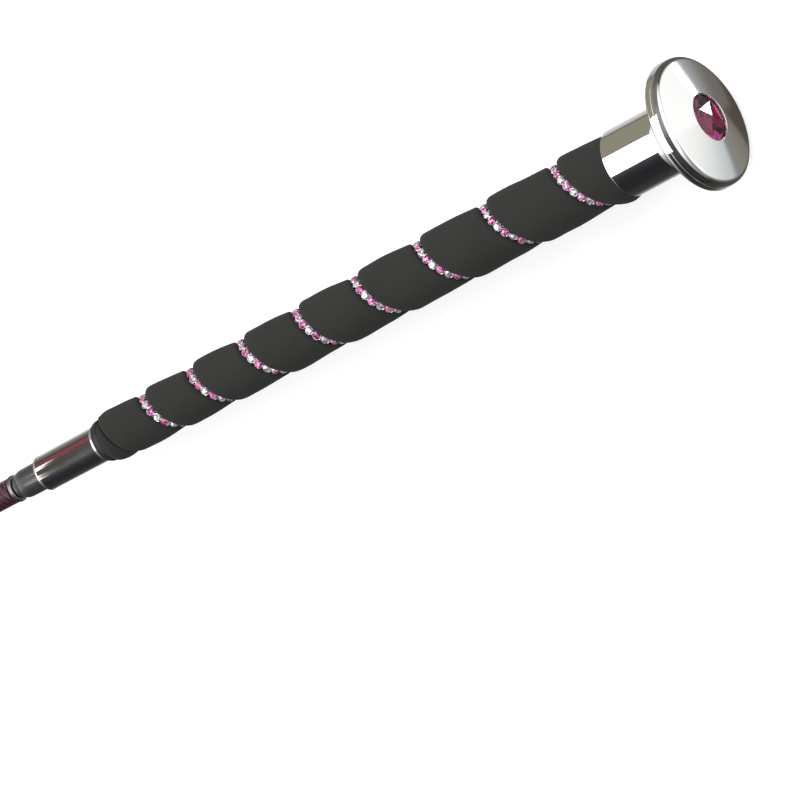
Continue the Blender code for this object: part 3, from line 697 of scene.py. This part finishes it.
def bridge(count_a, turn_a, a, count_b, turn_b, b):
    """Triangles between two rings of corners, walking round both by angle."""
    faces, i, j = [], 0, 0
    while i < count_a or j < count_b:
        next_a = (i + 1 + turn_a) / count_a
        next_b = (j + 1 + turn_b) / count_b
        here_a, here_b = a + i % count_a, b + j % count_b
        if j >= count_b or (i < count_a and next_a <= next_b):
            faces.append((here_a, a + (i + 1) % count_a, here_b))
            i += 1
        else:
            faces.append((here_a, b + (j + 1) % count_b, here_b))
            j += 1
    return faces


STONE_APEX_X = 3.4
STONE_TURN = math.radians(84 - 45)  # from the facing side of the whip to the stone's first ridge
PAVILION = [(16, 6.42, 1.84, 0.5), (8, 4.3, 0.94, 0.5)]
CULET_X = -0.28


def cap_stone(looks):
    """The large stone: a low four-sided point, an eight-sided crown, a girdle and a pavilion set in foil."""
    rings = [(4, 4.7, 2.88, 0.0), (8, 6.0, 2.26, 0.5), (16, 6.42, 1.98, 0.5), *PAVILION]
    verts, faces = facet_solid(rings, STONE_APEX_X, CULET_X)
    turn = Matrix.Rotation(math.pi / 2 + TURN - STONE_TURN, 4, "X")
    upright = Matrix(((0, 0, 1, 0), (1, 0, 0, 0), (0, 1, 0, 0), (0, 0, 0, 1)))  # its z along the whip's x
    place = WHIP @ turn @ upright
    stone = whip_object("cap_stone", verts, faces, looks["stone"], "handle", None, matrix=place)
    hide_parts("cap_crystal")
    verts, faces = foil_cup()
    foil = whip_object("stone_foil", verts, faces, looks["foil"], "handle", None, matrix=place)
    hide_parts("crystal_foil")


def foil_cup():
    """A thin mirror that hugs the pavilion's facets."""
    gap, thickness, sides = 0.03, 0.12, 16
    rings = []
    for drop in (gap, gap + thickness):
        for count, radius, height, turn in PAVILION:
            angle = (np.arange(sides) // (sides // count) + turn) / count * TAU
            level = 0 * angle + height - drop
            rings.append(np.stack([radius * np.cos(angle), radius * np.sin(angle), level], -1))
        rings.append(np.tile([0.0, 0.0, CULET_X - drop], (sides, 1)))
    verts = np.concatenate([rings[k] for k in (2, 1, 0, 3, 4, 5)])
    faces = []
    for start in range(0, 5 * sides, sides):
        for k in range(sides):
            a, b = start + k, start + (k + 1) % sides
            faces += [(a, b, b + sides), (a, b + sides, a + sides)]
    verts, index = np.unique(np.round(verts, 6), axis=0, return_inverse=True)
    index = index.reshape(-1)
    kept = {tuple(index[v] for v in face) for face in faces}
    return verts, [face for face in kept if len(set(face)) == 3]


# ---------------- grip


def seam_half(turn):
    """Half the seam's width: open over the crystals, and closed up past their ends."""
    inside = np.minimum(turn - CRYSTALS_FROM, CRYSTALS_TO - turn)
    share = np.clip(1.0 + inside / 0.1, 0, 1)
    return SEAM_HALF + (CHANNEL_HALF - SEAM_HALF) * share


def ripple(turn, x):
    """Small unevenness of hand-wound foam, the same each run."""
    return (
        0.06 * np.sin(TAU * turn * 1.7 + 0.4 * x)
        + 0.05 * np.sin(TAU * turn * 3.1 - 0.23 * x + 1.0)
        + 0.03 * np.sin(TAU * turn * 7.3 + 0.61 * x + 2.0)
    )


def foam_strip(looks):
    """The wound strip. Its back edge is a high round shoulder and its front edge a lower, crisper lip."""
    first, last = STRIP_TURNS
    turns = np.linspace(first, last, round((last - first) * 72) + 1)
    seam_back = seam_x(turns) + seam_half(turns)
    seam_front = seam_x(turns + 1) - seam_half(turns + 1)
    back = np.maximum(seam_back, GRIP_BACK_X)
    front = np.minimum(seam_front, GRIP_FRONT_X)
    width = front - back
    open_back = smooth_step(GRIP_BACK_X - 1.0, GRIP_BACK_X + 4.0, seam_back)
    open_front = smooth_step(GRIP_FRONT_X + 2.0, GRIP_FRONT_X - 3.0, seam_front)
    soft_back = np.minimum(0.5 + 1.7 * open_back, width / 3)
    soft_front = np.minimum(0.4 + 0.6 * open_front, width / 3)
    rise, crown = 0.32, 0.16
    columns = [(back, grip_radius(back) - STRIP_THICKNESS)]

    def put(x, depth, share):
        lean = rise * (1 - 2 * share)
        radius = grip_radius(x) + lean * smooth_step(0.0, 6.0, width) - depth
        columns.append((x, radius + ripple(turns, x) * (depth < 1.5)))

    for angle in np.radians(np.linspace(8, 90, 9)):
        depth = np.minimum(1.35, soft_back * 0.62) * (1 - np.sin(angle))
        put(back + soft_back * (1 - np.cos(angle)), depth, 0.0)
    for share in np.linspace(0.12, 0.88, 8):
        x = back + soft_back + (width - soft_back - soft_front) * share
        put(x, -crown * math.sin(math.pi * share), share)
    for angle in np.radians(np.linspace(90, 4, 8)):
        depth = np.minimum(0.95, soft_front) * (1 - np.sin(angle))
        put(front - soft_front * (1 - np.cos(angle)), depth, 1.0)
    columns.append((front, grip_radius(front) - STRIP_THICKNESS))
    x, r = (np.stack(parts, 1) for parts in zip(*columns))
    angle = (FIRST_BAND_ANGLE + TAU * turns)[:, None]
    verts = round_axis(x, round_grip_ends(x, r, angle), angle)
    faces, uvs = ring_faces(*x.shape)
    strip = whip_object("foam_strip", verts, faces, looks["foam"], "handle", 50, uvs)
    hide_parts("grip_wrap")


def round_grip_ends(x, r, angle):
    """Draws the foam in towards the end ring, and lets it bulge over the neck's lip on its underside."""
    inner = grip_radius(x) - STRIP_THICKNESS
    outer = np.clip((r - inner) / STRIP_THICKNESS, 0, 1)
    at_back = np.clip((x - GRIP_BACK_X) / 3.4, 0, 1)
    drop = 0.75 * (1 - at_back) ** 2
    underside = 0.5 + 0.5 * np.cos(angle - math.radians(195))
    bulge = 0.7 * underside**2 * smooth_step(-34.0, -28.6, x)
    return r + outer * (bulge - drop)


def crystal_places():
    """Where the stones sit: (place, along the seam, across it, outward) for each, a stone's pitch apart."""
    pitch, depth = 2.42, 1.35
    fine = np.linspace(CRYSTALS_FROM + 0.03, CRYSTALS_TO - 0.03, 8001)
    x = seam_x(fine)
    angle = FIRST_BAND_ANGLE + TAU * fine
    line = round_axis(x, grip_radius(x) - depth, angle)
    along = length_along(line)
    for k in range(int(along[-1] // pitch) + 1):
        i = min(int(np.searchsorted(along, k * pitch)), len(fine) - 2)
        forward = Vector(line[i + 1] - line[i]).normalized()
        outward = Vector((0, math.cos(angle[i]), math.sin(angle[i])))
        across = outward.cross(forward).normalized()
        yield k, Vector(line[i]), forward, across, outward


def crystals(looks):
    """A cup chain wound into the seam: foiled stones by turns fuchsia and clear, each in a plated cup."""
    crown = [(8, 0.70, 0.63, 0.0), (8, 0.98, 0.40, 0.5), (16, 1.12, 0.10, 0.0)]
    below = [(16, 1.12, 0.00, 0.0), (8, 0.55, -0.42, 0.5)]
    stone, stone_faces = facet_solid(crown + below, 0.68, -0.66)
    cup_rows = [(1.14, -0.62), (1.22, -0.55), (1.25, 0.05), (1.20, 0.17), (1.12, 0.12), (1.13, -0.55)]
    cup_sides = 16
    cup = [(r * math.cos(a), r * math.sin(a), h) for r, h in cup_rows for a in spin(cup_sides)]
    cup_faces, _ = ring_faces(len(cup_rows), cup_sides, wrap_rows=True)
    parts = {name: ([], []) for name in ("fuchsia", "clear", "cups")}
    rng = np.random.default_rng(11)

    def add(name, verts, faces, matrix):
        made, out = parts[name]
        start = sum(len(v) for v in made)
        made.append(np.array([matrix @ Vector(v) for v in verts]))
        out.extend([tuple(start + i for i in face) for face in faces])

    for k, place, forward, across, outward in crystal_places():
        turn = Matrix((forward, across, outward)).transposed().to_4x4()
        wobble = Matrix.Rotation(rng.normal(0, 0.10), 4, "X") @ Matrix.Rotation(rng.normal(0, 0.10), 4, "Y")
        spun = Matrix.Rotation(rng.uniform(0, TAU), 4, "Z")
        at = Matrix.Translation(place) @ turn
        add("fuchsia" if k % 2 else "clear", stone, stone_faces, at @ wobble @ spun)
        add("cups", cup, cup_faces, at @ wobble)
    for name in ("fuchsia", "clear"):
        made, faces = parts[name]
        whip_object(f"crystals_{name}", np.concatenate(made), faces, looks[name], "handle", None)
    made, faces = parts["cups"]
    cups = whip_object("crystal_cups", np.concatenate(made), faces, looks["silver"], "handle")
    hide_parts("crystal_row")


def crystal_tape(looks):
    """The narrow plated mesh tape that carries the cups, rolled at its two edges."""
    turns_long = CRYSTALS_TO - CRYSTALS_FROM
    turns = np.linspace(CRYSTALS_FROM, CRYSTALS_TO, round(turns_long * 60) + 1)
    x = seam_x(turns)
    half = [(1.2, 2.28), (1.36, 2.1), (1.3, 1.62), (1.12, 1.55), (1.0, 1.9)]  # (from the middle, depth)
    section = [(-side, depth) for side, depth in half] + half[::-1]
    angle = FIRST_BAND_ANGLE + TAU * turns
    verts = np.stack([round_axis(x + shift, grip_radius(x) - depth, angle) for shift, depth in section], 1)
    faces, uvs = ring_faces(len(turns), len(section))
    tape = whip_object("plated_tape", verts, faces, looks["silver"], "handle", 40, uvs)
    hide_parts("crystal_tape")


# ---------------- metalwork below the grip


def end_ring(looks):
    """The soft ring that closes the foam against the ferrule."""
    front, back = GRIP_BACK_X - 0.12, END_RING_BACK_X
    inner = FERRULE_RADIUS + 0.12
    profile = [(front, inner), (front, 5.6)]
    profile += arc(front - 0.4, 5.6, 0.4, 0.16, 20, 90, 5)
    profile += arc(back + 1.1, 5.2, 1.1, 0.55, 84, 176, 12)
    profile += [(back, inner)]
    ring = turned("rubber_end_ring", profile, looks["rubber"], "handle", 96)
    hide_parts("grip_end_ring")


def ferrule(looks):
    """The polished tube, with a rolled bead by the end ring and a turned edge over the collar."""
    front, back, bead, bore = FERRULE_FRONT_X, FERRULE_BACK_X, FERRULE_BEAD_X, FERRULE_BORE

    def outer(x):
        return FERRULE_RADIUS - FERRULE_DRAFT * (front - x) / (front - back)

    body = [bead - 0.34, bead - 0.36, bead - 0.5, *np.linspace(bead - 1.5, back + 2.0, 9)]
    body += [back + 0.9, back + 0.76, back + 0.74]
    profile = [(front, bore), (front, outer(front) - 0.1), (front - 0.1, outer(front))]
    profile.append((bead + 0.36, outer(bead)))
    profile += arc(bead, outer(bead), 0.28, 0.17, 12, 168, 12)
    profile += [(x, outer(x)) for x in body]
    profile += arc(back + 0.46, outer(back) - 0.03, 0.24, 0.09, 20, 150, 8)
    profile += arc(back + 0.22, outer(back) - 0.28, 0.22, 0.24, 95, 178, 8)
    profile += [(back, bore)]
    tube = turned("polished_ferrule", profile, looks["ferrule"], "handle", 128, 30)
    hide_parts("ferrule")


def collar(looks):
    """The lacquered collar, its end rounded in to the shaft."""
    front, back, bore = FERRULE_BACK_X - 0.1, COLLAR_BACK_X, 3.0
    profile = [(front, bore), (front, COLLAR_RADIUS - 0.12), (front - 0.15, COLLAR_RADIUS)]
    profile += [(x, COLLAR_RADIUS - 0.05 * (front - x) / 6) for x in np.linspace(front - 0.6, back + 2.2, 6)]
    profile += arc(back + 1.9, COLLAR_RADIUS - 0.95, 1.9, 0.88, 92, 176, 14)
    profile += [(back - 0.9, 3.02), (back - 0.9, bore)]
    piece = turned("lacquered_collar", profile, looks["lacquer"], "handle", 96)
    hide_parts("collar")


def shaft_ring(looks):
    """The thin dull ring in front of the accent thread."""
    middle = (RING_FRONT_X + RING_BACK_X) / 2
    half, bore, crown = (RING_FRONT_X - RING_BACK_X) / 2, 3.1, 0.35
    profile = arc(middle, RING_RADIUS - crown, half, crown, 2, 178, 14)
    profile = [(RING_FRONT_X, bore), *profile, (RING_BACK_X, bore)]
    piece = turned("nickel_ring", profile, looks["nickel"], "handle", 96)
    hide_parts("shaft_ring")


# ---------------- braid


def braid_height(around, along):
    """Height, about -1 to 1, of a braid at (around, along), in thread crossings. Two sets of threads cross
    over and under each other, and the one on top is a round ridge."""
    right = (around + along) / 2
    left = (around - along) / 2
    ridge_right = np.cos(TAU * right) * 0.5 + 0.5
    ridge_left = np.cos(TAU * left) * 0.5 + 0.5
    over = np.cos(math.pi * around) * np.cos(math.pi * along)
    lift = 0.5 + 0.5 * np.sin(math.pi * around) * np.sin(math.pi * along)
    return np.maximum(ridge_right * lift, ridge_left * (1 - lift)) * 2 - 1 + 0.1 * over


def braid_tube(name, front, back, look, body, height=0.095):
    """A length of braided cover, whose surface is the crossing threads. The braid is counted from the shaft's
    start, so lengths that meet carry on each other's pattern. height is how far the threads stand up."""

    def crossings(x):
        slope = (SHAFT_BACK_RADIUS - SHAFT_FRONT_RADIUS) / (SHAFT_BACK_X - SHAFT_FRONT_X)
        radius = shaft_radius(np.maximum(x, SHAFT_BACK_X))
        main = np.log(radius / SHAFT_FRONT_RADIUS) / slope / BRAID_LAY
        return np.abs(main) + np.maximum(SHAFT_BACK_X - x, 0) / (SHAFT_BACK_RADIUS * BRAID_LAY)

    low, high = crossings(np.array(front)), crossings(np.array(back))
    per_crossing = 3.5
    rows = round((high - low) * per_crossing)
    fine = np.linspace(front, back, 20 * rows)
    x = np.interp(np.linspace(low, high, rows + 1), crossings(fine), fine)
    x[0], x[-1] = front, back
    cols = CARRIERS * 4
    angle = spin(cols)
    around, along = np.meshgrid(angle / TAU * CARRIERS, crossings(x))
    smooth = shaft_radius(x)[:, None]
    outer = round_axis(x[:, None], smooth - height * 0.6 + height * 0.5 * braid_height(around, along), angle)
    bore_rows = np.linspace(rows, 0, 25).round().astype(int)  # enough for the bore to bend with the cover
    inner = round_axis(x[:, None], smooth - COVER_WALL, angle)[bore_rows]
    verts = np.concatenate([outer, inner])
    faces, uvs = ring_faces(len(verts), cols, wrap_rows=True)
    uvs = uvs * np.array([1, 1 / per_crossing]) + np.array([0, float(low)])
    return whip_object(name, verts, faces, look, body, sharp=70, uvs=uvs)


def accent_sleeve(looks):
    """Burgundy and black braid with tinsel threads, under clear lacquer."""
    front, back = SHAFT_FRONT_X, ACCENT_BACK_X
    sleeve = braid_tube("accent_braid", front, back, looks["accent"], "handle", height=0.05)
    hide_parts("accent_sleeve")


def core_rod(name, front, back, looks):
    """A length of the fibreglass core, a little slimmer than the cover's bore."""
    x = np.linspace(front, back, 40)
    radius = np.minimum(CORE_HANDLE_RADIUS, shaft_radius(x) - COVER_WALL - CORE_GAP)
    profile = [(front, 0.0), *zip(x, radius), (back, 0.0)]
    return turned(name, profile, looks["fibreglass"], None, 24, 50)


def shaft(looks):
    """The core and its braided cover, in lengths from mid-body to mid-body, each over one joint."""
    middles = [(a + b) / 2 for a, b in zip(FLEX_X, FLEX_X[1:])]
    count = len(FLEX_X)
    for k in range(count):
        front = ACCENT_BACK_X - 0.15 if k == 0 else middles[k - 1]
        back = COVER_BACK_X if k == count - 1 else middles[k]
        cover = braid_tube(f"shaft_braid_{k + 1}", front, back, looks["braid"], None)
        core_front = CORE_FRONT_X if k == 0 else front
        core_back = CORE_BACK_X if k == count - 1 else back
        core = core_rod(f"core_rod_{k + 1}", core_front, core_back, looks)
        for piece in (cover, core):
            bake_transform(piece)
        last = [k + 1] if k == count - 1 else []
        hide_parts(*(f"shaft_cover_{n}" for n in [k, *last]))
        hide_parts(*(f"shaft_core_{n}" for n in [k, *last]))


# ---------------- tip


def whipping_radius(x):
    """The whipping's outside: a slow taper over the shaft, then the full binding and a rounded end."""
    start, thin, thick = WHIPPING_FRONT_X, SHAFT_BACK_RADIUS + 0.36, 2.35
    taper = thin + (thick - thin) * smooth_step(start, start - 9.0, x)
    full = taper + (WHIPPING_RADIUS - thick) * smooth_step(start - 9.5, WHIPPING_FULL_X, x)
    from_end = np.clip((x - WHIPPING_BACK_X) / 2.2, 0, 1)
    inner = WHIPPING_BORE + 0.12
    return inner + (full - inner) * np.sqrt(1 - (1 - from_end) ** 2)


def whipping(looks):
    """The binding: one thread wound tight over the shaft and the lash's tail, which stands out as a ridge."""
    pitch, samples, cols = 0.42, 5, 56
    count = round((WHIPPING_FRONT_X - WHIPPING_BACK_X) / pitch * samples)
    x = np.linspace(WHIPPING_FRONT_X, WHIPPING_BACK_X, count + 1)
    angle = spin(cols)
    turn = (WHIPPING_FRONT_X - x)[:, None] / pitch + angle / TAU
    thread = np.abs(np.cos(math.pi * turn)) ** 0.7
    apart = np.abs((angle - TAIL_ANGLE + math.pi) % TAU - math.pi)
    ridge = np.exp(-((apart / 0.42) ** 2)) - 0.45 * np.exp(-(((apart - 0.95) / 0.3) ** 2))
    ridge = ridge * smooth_step(WHIPPING_FULL_X + 3.5, WHIPPING_FULL_X - 1.0, x)[:, None]
    hand = 0.03 * np.sin(turn * 0.9) + 0.02 * np.sin(turn * 2.3 + 1.0)
    outer_r = whipping_radius(x)[:, None] - 0.10 + 0.09 * thread + 0.20 * ridge + hand * 0.5
    bores = [WHIPPING_BORE, WHIPPING_BORE, WHIPPING_FRONT_BORE]
    bore = np.interp(x, [WHIPPING_BACK_X, WHIPPING_FULL_X, WHIPPING_FRONT_X], bores)
    inner = round_axis(x[:, None], bore[:, None], angle)[[-1, 0]]
    verts = np.concatenate([round_axis(x[:, None], outer_r, angle), inner])
    faces, uvs = ring_faces(len(verts), cols, wrap_rows=True)
    uvs = uvs * np.array([20.0, 0.05])
    piece = whip_object("thread_whipping", verts, faces, looks["thread"], "shaft_6", 80, uvs)
    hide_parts("tip_whipping")


# ---------------- lash


def lash_line():
    """The lash's centreline, in the CAD model's frame: the same smooth route as its CAD solid."""
    start = WHIP @ Vector((WHIPPING_BACK_X, LASH_SIDE, 0))
    radius = LASH_DIAMETER / 2 * MM
    route = []
    for out, side in LASH_ROUTE:
        fall = min(1.0, out / 9.0)
        lift = max(0.0, (out - 44.0) / 12.9)
        height = start.z + (radius - start.z) * fall * fall * (3 - 2 * fall)
        height += ((LASH_END_RADIUS + 0.05) * MM - radius) * lift
        route.append(np.array((start.x - out * MM, start.y - side * MM, height)))
    ends = [2 * route[0] - route[1], *route, 2 * route[-1] - route[-2]]
    fine = [route[0]]
    for a, b, c, d in zip(ends, ends[1:], ends[2:], ends[3:]):
        for t in np.linspace(0, 1, 13)[1:]:
            bend = (2 * a - 5 * b + 4 * c - d) * t**2 + (3 * b - a - 3 * c + d) * t**3
            fine.append(0.5 * (2 * b + (c - a) * t + bend))
    return np.array(fine)


def plait(name, line, at, flare, look):
    """Plaited cord of eight strands round a line, whose points are at these distances along the lash."""
    cols, strands, crossing, depth = 48, 8, 0.92, 0.27
    ahead = np.gradient(line, axis=0)
    ahead /= np.linalg.norm(ahead, axis=1)[:, None]
    level = np.cross(ahead, (0, 0, 1))
    level /= np.linalg.norm(level, axis=1)[:, None]
    up = np.cross(level, ahead)
    angle = spin(cols)
    around, along = np.meshgrid(angle / TAU * strands, at / (crossing * MM))
    height = braid_height(around, along)
    knot = np.exp(-(((at - 0.8 * at[-1]) / (1.2 * MM)) ** 2))[:, None] * np.exp(-(((angle - 3.6) / 0.7) ** 2))
    radius = (LASH_DIAMETER / 2 - depth + depth * height + 0.45 * knot) * MM * flare[:, None]
    wide, tall = 1.04, 0.96
    across = (radius * np.cos(angle) * wide)[..., None] * level[:, None]
    lift = (radius * np.sin(angle) * tall)[..., None] * up[:, None]
    faces, uvs = ring_faces(len(line), cols)
    uvs = uvs * np.array([8.0, 0.18])
    verts = line[:, None] + across + lift
    return whip_object(name, verts, faces, look, "shaft_6", 80, uvs, Matrix())


def lash(looks):
    """The lash, a cord that leaves the whipping's end and lies on the floor."""
    route = lash_line()
    along = length_along(route)
    at = np.linspace(0, along[-1], 440)
    line = np.stack([np.interp(at, along, route[:, k]) for k in range(3)], 1)
    cord = plait("plaited_lash", line, at, np.ones(len(line)), looks["plait"])
    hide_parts("lash")
    end = sealed_end(looks, route)


def sealed_end(looks, route):
    """The lash's end: the strands splay a little and are melted together at the cut."""
    ahead = (route[-1] - route[-2]) / np.linalg.norm(route[-1] - route[-2])
    reach = LASH_END_LENGTH * MM
    line = route[-1] + np.linspace(0.02, 1.08, 40)[:, None] * reach * ahead
    at = np.linspace(0, reach, 40)
    flare = 1 + 0.36 * smooth_step(0.0, 0.8 * reach, at)
    flare *= 1 - 0.16 * smooth_step(0.86 * reach, reach, at)
    end = plait("sealed_lash_end", line, at + LASH_LENGTH_M, flare, looks["plait"])
    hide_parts("lash_end")
    return end


# ---------------- pieces that keep their CAD shape


def dress_cad_nodes(looks):
    """The inner pieces, whose CAD shape is right, get their finishes."""
    finishes = {"neck_plug": "moulding", "grip_underlay": "moulding", "ferrule_bush": "moulding"}
    for node, finish in {**finishes, "lash_tail": "braid"}.items():
        materials = frame["nodes"][node].data.materials
        materials.clear()
        materials.append(looks[finish])


def main():
    make_studio()
    looks = make_looks()
    lash(looks)
    end_cap(looks)
    cap_stone(looks)
    foam_strip(looks)
    crystals(looks)
    crystal_tape(looks)
    end_ring(looks)
    ferrule(looks)
    collar(looks)
    shaft_ring(looks)
    accent_sleeve(looks)
    shaft(looks)
    whipping(looks)
    dress_cad_nodes(looks)
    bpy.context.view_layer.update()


main()
